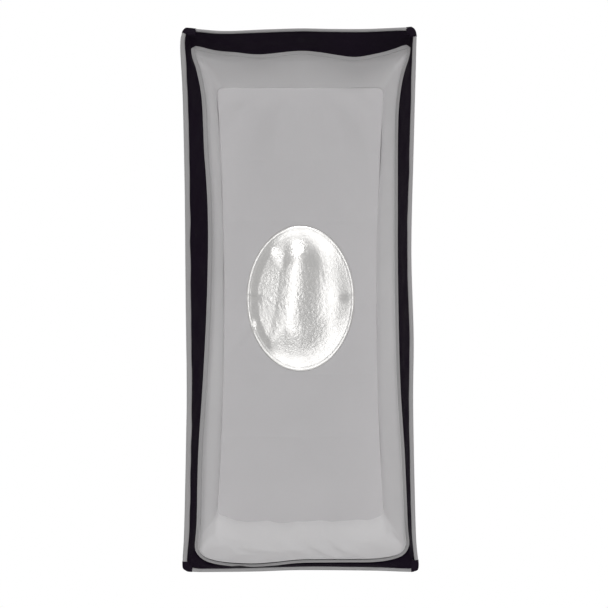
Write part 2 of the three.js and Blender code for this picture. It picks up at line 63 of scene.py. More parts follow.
CAMERA_DISTANCE = 3.1
LENS_MM = 94.0
SHIFT_X, SHIFT_Y = 0.0058, -0.0053

scene = bpy.context.scene
rim_y = CAD_BOX[0].y
middle_z = (CAD_BOX[0].z + CAD_BOX[1].z) / 2

camera_data = bpy.data.cameras.new("camera")
camera_data.lens = LENS_MM
camera_data.sensor_width = 36.0
camera_data.shift_x, camera_data.shift_y = SHIFT_X, SHIFT_Y
camera = bpy.data.objects.new("camera", camera_data)
camera.location = (0, rim_y - CAMERA_DISTANCE, middle_z)
camera.rotation_euler = (radians(90), 0, 0)
scene.collection.objects.link(camera)
scene.camera = camera
scene.view_settings.view_transform = "Standard"

SKY_TOP, SKY_LOW = 0.39, 0.31

world = bpy.data.worlds.new("studio")
scene.world = world
world.use_nodes = True
tree = world.node_tree
tree.nodes.clear()
direction = tree.nodes.new("ShaderNodeTexCoord")
split = tree.nodes.new("ShaderNodeSeparateXYZ")
tree.links.new(direction.outputs["Generated"], split.inputs[0])
height = tree.nodes.new("ShaderNodeMapRange")
height.inputs["From Min"].default_value = -0.6
height.inputs["From Max"].default_value = 0.8
height.inputs["To Min"].default_value = SKY_LOW
height.inputs["To Max"].default_value = SKY_TOP
tree.links.new(split.outputs["Z"], height.inputs["Value"])
surround = tree.nodes.new("ShaderNodeBackground")
tree.links.new(height.outputs[0], surround.inputs["Strength"])
backdrop = tree.nodes.new("ShaderNodeBackground")
backdrop.inputs["Color"].default_value = (1, 1, 1, 1)
seen = tree.nodes.new("ShaderNodeLightPath")
choice = tree.nodes.new("ShaderNodeMixShader")
tree.links.new(seen.outputs["Is Camera Ray"], choice.inputs[0])
tree.links.new(surround.outputs[0], choice.inputs[1])
tree.links.new(backdrop.outputs[0], choice.inputs[2])
ground = tree.nodes.new("ShaderNodeOutputWorld")
tree.links.new(choice.outputs[0], ground.inputs["Surface"])


def softlight(name, place, target, size, watts):
    data = bpy.data.lights.new(name, "AREA")
    data.shape = "RECTANGLE"
    data.size, data.size_y = size
    data.energy = watts
    light = bpy.data.objects.new(name, data)
    light.location = place
    light.rotation_euler = (Vector(target) - Vector(place)).to_track_quat("-Z", "Y").to_euler()
    scene.collection.objects.link(light)


softlight("key", (-0.3, -7.2, 3.8), (0, -0.3, 0), (1.8, 2.0), 190)
softlight("front_panel", (-0.1, -4.3, 0), (0, -0.3, 0), (1.15, 2.0), 15)
softlight("fill", (0, -2.2, -1.5), (0, -0.3, -0.3), (2.0, 1.0), 4)
softlight("side_right", (2.6, 0.9, 1.5), (0.1, -0.2, 0), (1.0, 2.0), 60)
softlight("side_left", (-2.6, 0.9, 1.5), (-0.1, -0.2, 0), (1.0, 2.0), 40)
softlight("back", (-1.3, 2.2, 1.5), (0, -0.1, 0), (1.4, 1.4), 34)

# ---- floor ----
# A plain pale studio floor, a stand's height below the box. To the camera it is as white as the
# backdrop, and otherwise it only sends light back up.

FLOOR_Z, FLOOR_SIZE = -2.2, 12.0
FLOOR_GREY = 0.45


def make_object(name, bm, smooth=True):
    mesh = bpy.data.meshes.new(name)
    bm.to_mesh(mesh)
    bm.free()
    mesh.polygons.foreach_set("use_smooth", [smooth] * len(mesh.polygons))
    piece = bpy.data.objects.new(name, mesh)
    scene.collection.objects.link(piece)
    return piece


def principled(name, **sockets):
    material = bpy.data.materials.new(name)
    material.use_nodes = True
    shader = material.node_tree.nodes["Principled BSDF"]
    for socket, value in sockets.items():
        shader.inputs[socket.replace("_", " ")].default_value = value
    return material, material.node_tree, shader


bm = bmesh.new()
bmesh.ops.create_grid(bm, x_segments=1, y_segments=1, size=FLOOR_SIZE / 2)
for vert in bm.verts:
    vert.co.z = FLOOR_Z
floor = make_object("studio_floor", bm, smooth=False)
paint, paint_tree, paint_shader = principled("pale_floor", Roughness=0.9, Base_Color=(*[FLOOR_GREY] * 3, 1))
glow = paint_tree.nodes.new("ShaderNodeEmission")
glow.inputs["Color"].default_value = (1, 1, 1, 1)
ray = paint_tree.nodes.new("ShaderNodeLightPath")
either = paint_tree.nodes.new("ShaderNodeMixShader")
paint_tree.links.new(ray.outputs["Is Camera Ray"], either.inputs[0])
paint_tree.links.new(paint_shader.outputs[0], either.inputs[1])
paint_tree.links.new(glow.outputs[0], either.inputs[2])
paint_tree.links.new(either.outputs[0], paint_tree.nodes["Material Output"].inputs["Surface"])
floor.data.materials.append(paint)

# ---- outer shell ----
# The black nylon cover: four gores sewn into one funnel, stretched over the four bowed rods from
# the speedring to the front rim. The long sides pull in a little and the bottom gore hangs.

BOW_OUT, BOW_FORWARD = 0.73, 0.42
MOUTH_Y = -0.022
CORNER_START = Vector((0.0454, 0.0785))
CORNER_END = Vector((0.230, 0.5285))
RUN_Y = rim_y - MOUTH_Y
REAR_T, FRONT_T = 0.1, 0.997
REAR_RADIUS, RIM_RADIUS = 0.006, 0.010
SIDE_PULL, TOP_PULL, BOTTOM_HANG = 0.028, 0.003, 0.034
CLOTH = 0.0007
RIM_POINTS = [
    [(-226, 531), (-214, 532), (-150, 527), (-70, 530), (0, 532), (60, 531), (130, 531), (205, 534)],
    [(219, 533), (226, 520), (226, 489), (221, 300), (216.5, 100), (221, -70), (220, -210), (225, -448)],
    [(230, -515), (222, -528), (200, -529), (140, -527), (0, -526), (-80, -528.5), (-150, -529.5),
     (-205, -529.5)],
    [(-224, -526), (-230, -512), (-227, -450), (-223.5, -290), (-222, -166), (-224, 0), (-226, 220),
     (-230, 400), (-234.5, 489), (-233, 518)],
]
SIDE_COLUMNS = {"level": 56, "upright": 110}
CORNER_SHARE = {"level": 0.06, "upright": 0.03}
SHELL_ROWS = 74
ROD_RIDGE = 0.0024


def bowed(t, bow):
    return 2 * bow * t * (1 - t) + t * t


def depth_at(t):
    return MOUTH_Y + RUN_Y * bowed(t, BOW_FORWARD)


def station_at(y):
    share = (y - MOUTH_Y) / RUN_Y
    square = 1 - 2 * BOW_FORWARD
    return (-BOW_FORWARD + sqrt(BOW_FORWARD ** 2 + square * share)) / square


def half_width(t):
    return CORNER_START.x + (CORNER_END.x - CORNER_START.x) * bowed(t, BOW_OUT)


def half_height(t):
    return CORNER_START.y + (CORNER_END.y - CORNER_START.y) * bowed(t, BOW_OUT)


def smooth_step(low, high, x):
    share = min(1.0, max(0.0, (x - low) / (high - low)))
    return share * share * (3 - 2 * share)


# The columns of a sheet that runs round the box: top, right, bottom and left side in turn, seen
# from the front, each with the share of its way from corner to corner.
COLUMNS = []
for side in range(4):
    count = SIDE_COLUMNS["level" if side % 2 == 0 else "upright"]
    COLUMNS += [(side, i / count) for i in range(count)]
COLUMNS.append((0, 0.0))


def round_section(column, half_x, half_z, radius):
    """x, z and share along the side, -1 to 1, of a column on a rectangle with round corners."""
    side, share = column
    level = side % 2 == 0
    along, out = (half_x, half_z) if level else (half_z, half_x)
    bend = CORNER_SHARE["level" if level else "upright"]
    if share < bend:
        angle = pi / 4 * (1 - share / bend)
        a, o = -(along - radius) - radius * sin(angle), out - radius + radius * cos(angle)
    elif share > 1 - bend:
        angle = pi / 4 * (1 - (1 - share) / bend)
        a, o = (along - radius) + radius * sin(angle), out - radius + radius * cos(angle)
    else:
        a = (along - radius) * (2 * (share - bend) / (1 - 2 * bend) - 1)
        o = out
    x, z = [(a, o), (o, -a), (-a, -o), (-o, a)][side]
    return x, z, a / along


def wrapped_sheet(name, rows, place, wide, deep, solid=CLOTH):
    """A sheet right round the box. place(column, v) gives a point; its UV map is in metres."""
    bm = bmesh.new()
    uv = bm.loops.layers.uv.new("UVMap")
    columns = len(COLUMNS) - 1
    bmesh.ops.create_grid(bm, x_segments=columns, y_segments=rows, size=0.5)
    for face in bm.faces:
        for loop in face.loops:
            loop[uv].uv = ((loop.vert.co.x + 0.5) * wide, (loop.vert.co.y + 0.5) * deep)
    for vert in bm.verts:
        column = COLUMNS[round((vert.co.x + 0.5) * columns)]
        vert.co = place(column, vert.co.y + 0.5)
    bmesh.ops.remove_doubles(bm, verts=bm.verts, dist=1e-5)
    bmesh.ops.recalc_face_normals(bm, faces=bm.faces)
    piece = make_object(name, bm)
    if solid:
        wall = piece.modifiers.new("cloth", "SOLIDIFY")
        wall.thickness = solid
        wall.offset = 0
    return piece


def ripple(x, y, z, seed):
    return noise.noise(Vector((x, y, z + 17.3 * seed)))


def shell_wrinkle(side, along, t, half_along):
    """Soft pulls across a gore, and short folds that run from its front corners."""
    soft = 0.0022 * ripple(along * half_along * 6, t * 4, side, 1)
    across = 0.0016 * ripple(along * half_along * 22, t * 3, side, 2) * smooth_step(0.3, 1.0, t)
    reach = (1 - abs(along)) * half_along
    corner = exp(-((reach / 0.13) ** 2)) * smooth_step(0.35, 0.9, t)
    fan = 0.0016 * sin(34 * (t + 2.4 * reach)) * corner
    return (soft + across + fan) * smooth_step(0.0, 0.12, 1 - abs(along)) * smooth_step(0, 0.04, 1 - t)


STEPS_PER_SPAN = 10


def spline(points, i, f):
    """Catmull-Rom through a closed run of points, at share f of the way from point i."""
    p = [points[(i + k) % len(points)] for k in (-1, 0, 1, 2)]
    return 0.5 * (2 * p[1] + (p[2] - p[0]) * f + (2 * p[0] - 5 * p[1] + 4 * p[2] - p[3]) * f * f
                  + (3 * p[1] - p[0] - 3 * p[2] + p[3]) * f ** 3)


class ClosedLine:
    """A smooth line right round the box, from points in millimetres given side by side."""

    def __init__(self, sides):
        knots = [Vector(point) / 1000 for side in sides for point in side]
        self.track = [spline(knots, i, k / STEPS_PER_SPAN)
                      for i in range(len(knots)) for k in range(STEPS_PER_SPAN)]
        self.track.append(self.track[0].copy())
        self.way = [0.0]
        for a, b in zip(self.track, self.track[1:]):
            self.way.append(self.way[-1] + (b - a).length)
        self.corners, count = [], 0
        for side in sides:
            self.corners.append(self.way[count * STEPS_PER_SPAN])
            count += len(side)
        self.corners.append(self.way[-1])

    def at_way(self, goal):
        goal %= self.way[-1]
        low, high = 0, len(self.way) - 1
        while high - low > 1:
            middle = (low + high) // 2
            if self.way[middle] <= goal:
                low = middle
            else:
                high = middle
        f = (goal - self.way[low]) / (self.way[high] - self.way[low])
        return self.track[low].lerp(self.track[high], f)

    def way_of(self, column):
        side, share = column
        return self.corners[side] + (self.corners[side + 1] - self.corners[side]) * share

    def frame(self, goal, reach=0.004):
        """The point at a way along the line, and the directions along it and inwards."""
        along = (self.at_way(goal + reach) - self.at_way(goal - reach)).normalized()
        return self.at_way(goal), along, Vector((along.y, -along.x))


rim = ClosedLine(RIM_POINTS)


def shell_point(column, v):
    t = REAR_T + (FRONT_T - REAR_T) * v
    side = column[0]
    half_x, half_z = half_width(t), half_height(t)
    x, z, along = round_section(column, half_x, half_z, REAR_RADIUS + (RIM_RADIUS - REAR_RADIUS) * v)
    y = depth_at(t)
    arch = 1 - along * along
    wrinkle = shell_wrinkle(side, along, t, half_z if side % 2 else half_x)
    edge = rim.at_way(rim.way_of(column))
    whole = round_section(column, CORNER_END.x, CORNER_END.y, RIM_RADIUS)
    from_corner = min(column[1], 1 - column[1]) * 2 * (half_z if side % 2 else half_x)
    near_rod = exp(-((from_corner / 0.035) ** 2))
    share = smooth_step(0.45 + 0.45 * near_rod, 1.0, v)
    x += (edge.x - whole[0]) * share
    z += (edge.y - whole[1]) * share
    ridge = ROD_RIDGE * near_rod * smooth_step(0.3, 0.7, v) * smooth_step(1.0, 0.96, v)
    x += ridge * (1 if x > 0 else -1)
    z += ridge * (1 if z > 0 else -1)
    if side % 2:
        x += (wrinkle - SIDE_PULL * t * (1 - t) * arch) * (1 if side == 1 else -1)
    elif side == 0:
        z += wrinkle - TOP_PULL * arch * 4 * t * (1 - t)
    else:
        hang = BOTTOM_HANG * (t - REAR_T) * min(1.0, 6 * (1 - t))
        z -= hang * (1 - along ** 4) - wrinkle
    return Vector((x, y, z))


def node_group(name, inputs, outputs):
    group = bpy.data.node_groups.new(name, "ShaderNodeTree")
    for title, kind in inputs:
        group.interface.new_socket(title, in_out="INPUT", socket_type=kind)
    for title, kind in outputs:
        group.interface.new_socket(title, in_out="OUTPUT", socket_type=kind)
    return group, group.nodes.new("NodeGroupInput"), group.nodes.new("NodeGroupOutput")


def math_node(tree, operation, *values):
    node = tree.nodes.new("ShaderNodeMath")
    node.operation = operation
    for socket, value in zip(node.inputs, values):
        if isinstance(value, (int, float)):
            socket.default_value = value
        else:
            tree.links.new(value, socket)
    return node.outputs[0]


# Plain weave from a UV map in metres: crossing threads, with thick and thin places.
weave, given, made = node_group(
    "plain_weave",
    [("UV", "NodeSocketVector"), ("Pitch", "NodeSocketFloat"), ("Slub", "NodeSocketFloat")],
    [("Height", "NodeSocketFloat"), ("Shade", "NodeSocketFloat")])
threads = weave.nodes.new("ShaderNodeSeparateXYZ")
weave.links.new(given.outputs["UV"], threads.inputs[0])
turns = math_node(weave, "DIVIDE", 2 * pi, given.outputs["Pitch"])
warp = math_node(weave, "SINE", math_node(weave, "MULTIPLY", threads.outputs["X"], turns))
weft = math_node(weave, "SINE", math_node(weave, "MULTIPLY", threads.outputs["Y"], turns))
crossing = math_node(weave, "MULTIPLY", warp, weft)
slub = weave.nodes.new("ShaderNodeTexNoise")
slub.inputs["Scale"].default_value = 240
slub.inputs["Detail"].default_value = 3
weave.links.new(given.outputs["UV"], slub.inputs["Vector"])
centred = math_node(weave, "SUBTRACT", slub.outputs["Fac"], 0.5)
uneven = math_node(weave, "MULTIPLY", centred, given.outputs["Slub"])
weave.links.new(math_node(weave, "MULTIPLY_ADD", crossing, 0.5, 0.5), made.inputs["Height"])
weave.links.new(math_node(weave, "ADD", 0.5, uneven), made.inputs["Shade"])

# Fine creases that stay in handled cloth, from the place on the piece.
crumple, given, made = node_group(
    "crumpled_cloth",
    [("Place", "NodeSocketVector"), ("Size", "NodeSocketFloat"), ("Sharpness", "NodeSocketFloat")],
    [("Height", "NodeSocketFloat")])
folds = crumple.nodes.new("ShaderNodeTexNoise")
folds.noise_type = "RIDGED_MULTIFRACTAL"
folds.inputs["Detail"].default_value = 4
folds.inputs["Roughness"].default_value = 0.55
rate = math_node(crumple, "DIVIDE", 1.0, given.outputs["Size"])
crumple.links.new(rate, folds.inputs["Scale"])
crumple.links.new(given.outputs["Place"], folds.inputs["Vector"])
ridges = math_node(crumple, "POWER", folds.outputs["Fac"], given.outputs["Sharpness"])
crumple.links.new(ridges, made.inputs["Height"])


def place_group(tree, group, **values):
    node = tree.nodes.new("ShaderNodeGroup")
    node.node_tree = group
    for title, value in values.items():
        if isinstance(value, (int, float)):
            node.inputs[title].default_value = value
        else:
            tree.links.new(value, node.inputs[title])
    return node


CREASE_SHARPNESS = 1.6
SLUB_SHARE = 0.5


def cloth_material(name, dark, light, pitch, thread_depth, crease_size, crease_depth, **sockets):
    """Woven cloth: thread relief on its UV map, creases from its place, a slow change of tone."""
    material, tree, shader = principled(name, **sockets)
    spot = tree.nodes.new("ShaderNodeTexCoord")
    cloth = tree.nodes.new("ShaderNodeUVMap")
    cloth.uv_map = "UVMap"
    yarn = place_group(tree, weave, UV=cloth.outputs[0], Pitch=pitch, Slub=SLUB_SHARE)
    crease = place_group(
        tree, crumple, Place=spot.outputs["Object"], Size=crease_size, Sharpness=CREASE_SHARPNESS)
    tone = tree.nodes.new("ShaderNodeTexNoise")
    tone.inputs["Scale"].default_value = 9
    tone.inputs["Detail"].default_value = 5
    tree.links.new(spot.outputs["Object"], tone.inputs["Vector"])
    slow = math_node(tree, "MULTIPLY", tone.outputs["Fac"], 0.5)
    blend = math_node(tree, "MULTIPLY_ADD", yarn.outputs["Shade"], 0.5, slow)
    colour = tree.nodes.new("ShaderNodeMix")
    colour.data_type = "RGBA"
    colour.inputs["A"].default_value = (*dark, 1)
    colour.inputs["B"].default_value = (*light, 1)
    tree.links.new(blend, colour.inputs["Factor"])
    tree.links.new(colour.outputs["Result"], shader.inputs["Base Color"])
    fine = tree.nodes.new("ShaderNodeBump")
    fine.inputs["Distance"].default_value = thread_depth
    tree.links.new(yarn.outputs["Height"], fine.inputs["Height"])
    broad = tree.nodes.new("ShaderNodeBump")
    broad.inputs["Distance"].default_value = crease_depth
    tree.links.new(crease.outputs["Height"], broad.inputs["Height"])
    tree.links.new(fine.outputs[0], broad.inputs["Normal"])
    tree.links.new(broad.outputs[0], shader.inputs["Normal"])
    return material


black_nylon = cloth_material(
    "black_nylon", (0.0050, 0.0036, 0.0064), (0.0105, 0.0080, 0.0135), pitch=0.0011, thread_depth=0.00012,
    crease_size=0.055, crease_depth=0.0030, Roughness=0.52, Specular_IOR_Level=0.45)

shell = wrapped_sheet("shell_cover", SHELL_ROWS, shell_point, 3.0, 0.62)
shell.data.materials.append(black_nylon)
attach(shell, "softbox")
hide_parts("shell_top", "shell_bottom", "shell_left", "shell_right")

# ---- corner seams ----
# The gores meet in felled seams along the four rods: each is a flat folded ridge of the same
# nylon, which lies on the shell from its rear edge nearly to the rim.

SEAM_STEPS = 90
SEAM_HALF_WIDTH, SEAM_HEIGHT = 0.0042, 0.0011
SEAM_ENDS = (0.02, 0.955)


def seam_point(side, u, v):
    share = SEAM_ENDS[0] + (SEAM_ENDS[1] - SEAM_ENDS[0]) * v
    at = shell_point((side, 0.0), share)
    along = (shell_point((side, 0.0), share + 0.01) - at).normalized()
    outward = Vector((1 if at.x > 0 else -1, 0, 1 if at.z > 0 else -1)).normalized()
    wide = along.cross(outward).normalized()
    up = wide.cross(along).normalized()
    if up.dot(outward) < 0:
        up = -up
    angle = 2 * pi * u
    return at + wide * SEAM_HALF_WIDTH * cos(angle) + up * (0.0006 + SEAM_HEIGHT * sin(angle))


bm = bmesh.new()
uv = bm.loops.layers.uv.new("UVMap")
for side in range(4):
    strip = bmesh.ops.create_grid(bm, x_segments=12, y_segments=SEAM_STEPS, size=0.5)["verts"]
    for face in {face for vert in strip for face in vert.link_faces}:
        for loop in face.loops:
            loop[uv].uv = (loop.vert.co.x * 0.02, loop.vert.co.y * 0.66)
    for vert in strip:
        vert.co = seam_point(side, vert.co.x + 0.5, vert.co.y + 0.5)
bmesh.ops.remove_doubles(bm, verts=bm.verts, dist=1e-5)
bmesh.ops.holes_fill(bm, edges=[edge for edge in bm.edges if edge.is_boundary], sides=0)
bmesh.ops.recalc_face_normals(bm, faces=bm.faces)
seams = make_object("corner_seams", bm)
seams.data.materials.append(black_nylon)
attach(seams, "softbox")

# ---- inner piping ----
# The grey tape that binds the lip to the lining. It is a loose doubled edge: it hangs at the top
# and bottom, is drawn in along the sides and held out at the corners.

PIPING_POINTS = [
    [(-213, 497), (-205, 500), (-169, 493.5), (-127, 489.5), (-80, 485.5), (-5, 492.5), (40, 489.5),
     (104, 480.5), (148, 486.5), (187, 496), (208, 502)],
    [(215, 498), (213, 482), (201, 448), (193, 398), (190, 338), (189.5, 200), (190, 40), (194, -157),
     (202, -296), (208, -435), (212, -474)],
    [(209, -490), (193, -504), (148, -512), (78, -513), (0, -514), (-50, -519), (-90, -522), (-140, -520),
     (-180, -513), (-198, -502)],
    [(-205, -484), (-201, -435), (-198, -296), (-189.5, -157), (-182, 0), (-179.5, 140), (-182.5, 230),
     (-187.5, 299), (-192, 398), (-202, 455), (-210, 478)],
]
PIPING_DEPTH = {"top": -0.382, "bottom": -0.402, "corner": -0.394}


def piping_y(x, z):
    low = smooth_step(0.0, 1.0, -z / 0.45)
    edge = PIPING_DEPTH["top"] + (PIPING_DEPTH["bottom"] - PIPING_DEPTH["top"]) * low
    corner = smooth_step(0.16, 0.215, abs(x)) * smooth_step(0.40, 0.49, abs(z))
    return edge + (PIPING_DEPTH["corner"] - edge) * corner


piping_line = ClosedLine(PIPING_POINTS)


def piping_point(column, inset=0.0):
    place, along, inward = piping_line.frame(piping_line.way_of(column))
    y = piping_y(*place)
    place = place + inward * inset
    return Vector((place.x, y, place.y))


# The profile of a tape folded over a cord: wide, flat, and pinched along its middle by the seam.
TAPE_HALF_WIDTH = 0.0047
TAPE_HALF_THICKNESS = 0.0015
PROFILE_POINTS = 24
LEAN = {0: -14, 1: 44, 2: 66, 3: 8}


def tape_profile(v):
    angle = 2 * pi * v
    wide = cos(angle) * (0.85 + 0.15 * abs(cos(angle)))
    pinch = 1 - 0.75 * exp(-((wide / 0.16) ** 2))
    return TAPE_HALF_WIDTH * wide, TAPE_HALF_THICKNESS * sin(angle) * pinch


def piping_face(column, v):
    goal = piping_line.way_of(column)
    place, along, inward = piping_line.frame(goal)
    side, share = column
    after, before = LEAN[(side + 1) % 4], LEAN[(side - 1) % 4]
    turned_in = (after - LEAN[side]) / 2 * smooth_step(0.93, 1.0, share)
    turned_in += (before - LEAN[side]) / 2 * smooth_step(0.07, 0, share)
    lean = radians(LEAN[side] + turned_in)
    wide = Vector((inward.x * cos(lean), sin(lean), inward.y * cos(lean)))
    thick = wide.cross(Vector((along.x, 0, along.y)))
    w, h = tape_profile(v)
    return Vector((place.x, piping_y(*place), place.y)) + wide * w + thick * h


grey_tape = cloth_material(
    "grey_tape", (0.35, 0.345, 0.35), (0.49, 0.48, 0.485), pitch=0.0016, thread_depth=0.0002,
    crease_size=0.02, crease_depth=0.0003, Roughness=0.7, Sheen_Weight=0.1)
piping = wrapped_sheet("inner_piping", PROFILE_POINTS, piping_face, 2.9, 0.02, solid=None)
piping.data.materials.append(grey_tape)
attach(piping, "softbox")
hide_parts("piping_top", "piping_bottom", "piping_left", "piping_right")

# ---- recessed lip ----
# The black nylon band between the rim and the piping, mitred at its corners and sewn along both
# edges. The slack cloth lies in small folds.

LIP_ROWS = 26
RIM_INSET = 0.004
LIP_FRONT_Y = rim_y + 0.004
LIP_OVERLAP = 0.0032


def rim_point(column):
    place, along, inward = rim.frame(rim.way_of(column))
    length = rim.corners[column[0] + 1] - rim.corners[column[0]]
    from_corner = min(column[1], 1 - column[1]) * length
    place = place + inward * (RIM_INSET + 0.0075 * exp(-((from_corner / 0.022) ** 2)))
    return Vector((place.x, LIP_FRONT_Y, place.y))


def lip_point(column, v):
    front, back = rim_point(column), piping_point(column, -LIP_OVERLAP)
    at = front.lerp(back, v)
    along_side = min(column[1], 1 - column[1])
    belly = 4 * v * (1 - v)
    outward = Vector((front.x - back.x, 0, front.z - back.z)).normalized()
    fold = 0.0020 * ripple(at.x * 28, v * 1.4, at.z * 28, 3)
    fold += 0.0014 * ripple(at.x * 70, v * 3, at.z * 70, 4)
    at += outward * (fold * belly - 0.0008 * belly) * smooth_step(0, 0.05, along_side)
    at.y += 0.0028 * ripple(at.x * 34, v * 2, at.z * 34, 5) * belly
    groove = exp(-((along_side / 0.006) ** 2)) * belly
    return at + outward * 0.0022 * groove


lip_cloth = cloth_material(
    "black_lip", (0.0050, 0.0020, 0.0066), (0.0112, 0.0048, 0.0160), pitch=0.0011, thread_depth=0.00012,
    crease_size=0.050, crease_depth=0.0045, Roughness=0.6, Specular_IOR_Level=0.12)

lip = wrapped_sheet("recessed_lip", LIP_ROWS, lip_point, 3.0, 0.055)
lip.data.materials.append(lip_cloth)
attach(lip, "softbox")
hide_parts("lip_top", "lip_bottom", "lip_left", "lip_right")

# ---- white lining ----
# The reflective white inside: sewn to the piping in front, drawn in by the baffle's tabs, and
# narrowing to the speedring behind. The lower wall lies in soft bright folds.

LINING_ROWS = 90
LINING_INSET = 0.0078
LINING_REAR_T = 0.135
LINING_RADIUS = 0.012
BAFFLE_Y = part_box("inner_baffle")[0].y
SIDE_SQUEEZE, SIDE_BOW = 0.017, 0.015
FLOOR_HANG = 0.016
POCKET_SHARE = {0: 0.0, 1: 0.1, 2: 0.5, 3: 0.35}
TOP_RECESS = 0.010
JOIN_LENGTH = {0: 0.022, 1: 0.045, 2: 0.060, 3: 0.045}
SHELL_CLEARANCE = 0.0045
TAPE_OVERLAP = 0.0034
FLOOR_OVERLAP = 0.0012


def baffle_nearness(y):
    return exp(-(((y - BAFFLE_Y) / 0.07) ** 2))


def deep_inset(t):
    """The gap from the rods to the lining, which widens towards the back."""
    return LINING_INSET * (1 + 0.9 * (1 - t))


def lining_section(column, y):
    t = station_at(y)
    half_x = half_width(t) - LINING_INSET
    half_z = half_height(t) - deep_inset(t)
    x, z, along = round_section(column, half_x, half_z, LINING_RADIUS)
    near = baffle_nearness(y)
    share_z = min(1.0, abs(z) / half_z)
    share_x = min(1.0, abs(x) / half_x)
    squeeze = (SIDE_SQUEEZE + SIDE_BOW * (1 - share_z ** 2)) * near
    x -= squeeze * share_x * (1 if x > 0 else -1)
    if z < 0:
        z -= FLOOR_HANG * near * (1 - share_x ** 6) * share_z
    return Vector((x, y, z))


def lining_point(column, v):
    side = column[0]
    from_corner = min(column[1], 1 - column[1])
    middle = smooth_step(0.02, 0.12, from_corner)
    inset = TAPE_OVERLAP - (TAPE_OVERLAP + TOP_RECESS) * middle * (side == 0)
    start = piping_point(column, inset + FLOOR_OVERLAP * middle * (side == 2))
    y = start.y + (depth_at(LINING_REAR_T) - start.y) * v ** 1.15
    section = lining_section(column, y)
    joined = smooth_step(0.0, JOIN_LENGTH[side], y - start.y)
    early = Vector((start.x, y, start.z))
    at = early.lerp(section, joined)
    d = min(1.0, (y - start.y) / (BAFFLE_Y - start.y))
    hump = POCKET_SHARE[side] * (d - smooth_step(0.45, 0.98, d)) * smooth_step(0, 0.08, from_corner)
    drop = start - lining_section(column, BAFFLE_Y)
    at.z += hump * drop.z * (side == 2)
    at.x += hump * drop.x * (side % 2)
    calm = smooth_step(0, 0.03, y - start.y) * smooth_step(0, 0.08, from_corner)
    if side == 2:
        into = y - start.y
        pinch = smooth_step(0.006, 0.022, into) * smooth_step(0.075, 0.03, into)
        pinch *= smooth_step(0, 0.08, from_corner)
        at.z += 0.0032 * sin(2 * pi * (at.x * 15 + into * 22) + 6 * ripple(at.x * 5, 0, 0, 24)) * pinch
        at.z += (0.0055 * ripple(at.x * 16, y * 7, 0, 6) + 0.0030 * ripple(at.x * 40, y * 16, 0, 7)) * calm
    elif side == 0:
        at.z += 0.0018 * ripple(at.x * 13, y * 8, 0, 8) * calm
    else:
        at.x += 0.0022 * ripple(at.z * 9, y * 8, side, 9) * calm
    back = (station_at(y) - REAR_T) / (FRONT_T - REAR_T)
    outside = shell_point(column, back)
    corner = shell_point((side if column[1] < 0.5 else (side + 1) % 4, 0.0), back)
    limit_x = abs(outside.x if side % 2 else corner.x) - SHELL_CLEARANCE
    limit_z = abs(corner.z if side % 2 else outside.z) - SHELL_CLEARANCE
    at.x = min(limit_x, max(-limit_x, at.x))
    at.z = min(limit_z, max(-limit_z, at.z))
    return at


white_lining = cloth_material(
    "white_lining", (0.72, 0.71, 0.716), (0.81, 0.80, 0.806), pitch=0.0009, thread_depth=0.00006,
    crease_size=0.09, crease_depth=0.0006, Roughness=0.6, Sheen_Weight=0.1)

lining = wrapped_sheet("white_lining", LINING_ROWS, lining_point, 2.8, 0.5)
lining.data.materials.append(white_lining)
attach(lining, "softbox")
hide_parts("lining_top", "lining_bottom", "lining_left", "lining_right")

# ---- inner baffle ----
# A translucent white panel with elastic tabs, hung across the box on hook-and-loop tape. It keeps
# the sharp creases of its folding and soft pulls that fan from its top.

BAFFLE_TOP, BAFFLE_BOTTOM = 0.4335, -0.4540
BAFFLE_COLUMNS, BAFFLE_ROWS = 110, 260
FOLD_CREASES = [(0.286, 0.0005), (0.162, 0.0006), (0.0015, 0.0007), (-0.149, 0.0006), (-0.277, 0.0007),
                (-0.392, 0.0004)]
CREASE_HALF = 0.0035
BEHIND_MASK = 0.006
BAFFLE_CORNER = 0.014
MASK_X, MASK_Z = 0.110, 0.1485
MASK_CENTRE_Z = 0.005


def baffle_half_width(z):
    """To just inside the lining, with rounded corners."""
    t = station_at(BAFFLE_Y)
    half_z = half_height(t) - deep_inset(t)
    wall = half_width(t) - deep_inset(t) - SIDE_SQUEEZE
    width = wall - SIDE_BOW * (1 - min(1.0, abs(z) / half_z) ** 2) + 0.0018
    edge = BAFFLE_TOP if z > 0 else -BAFFLE_BOTTOM
    reach = max(0.0, abs(z) - (edge - BAFFLE_CORNER))
    return width - (BAFFLE_CORNER - sqrt(max(0.0, BAFFLE_CORNER ** 2 - reach ** 2)))


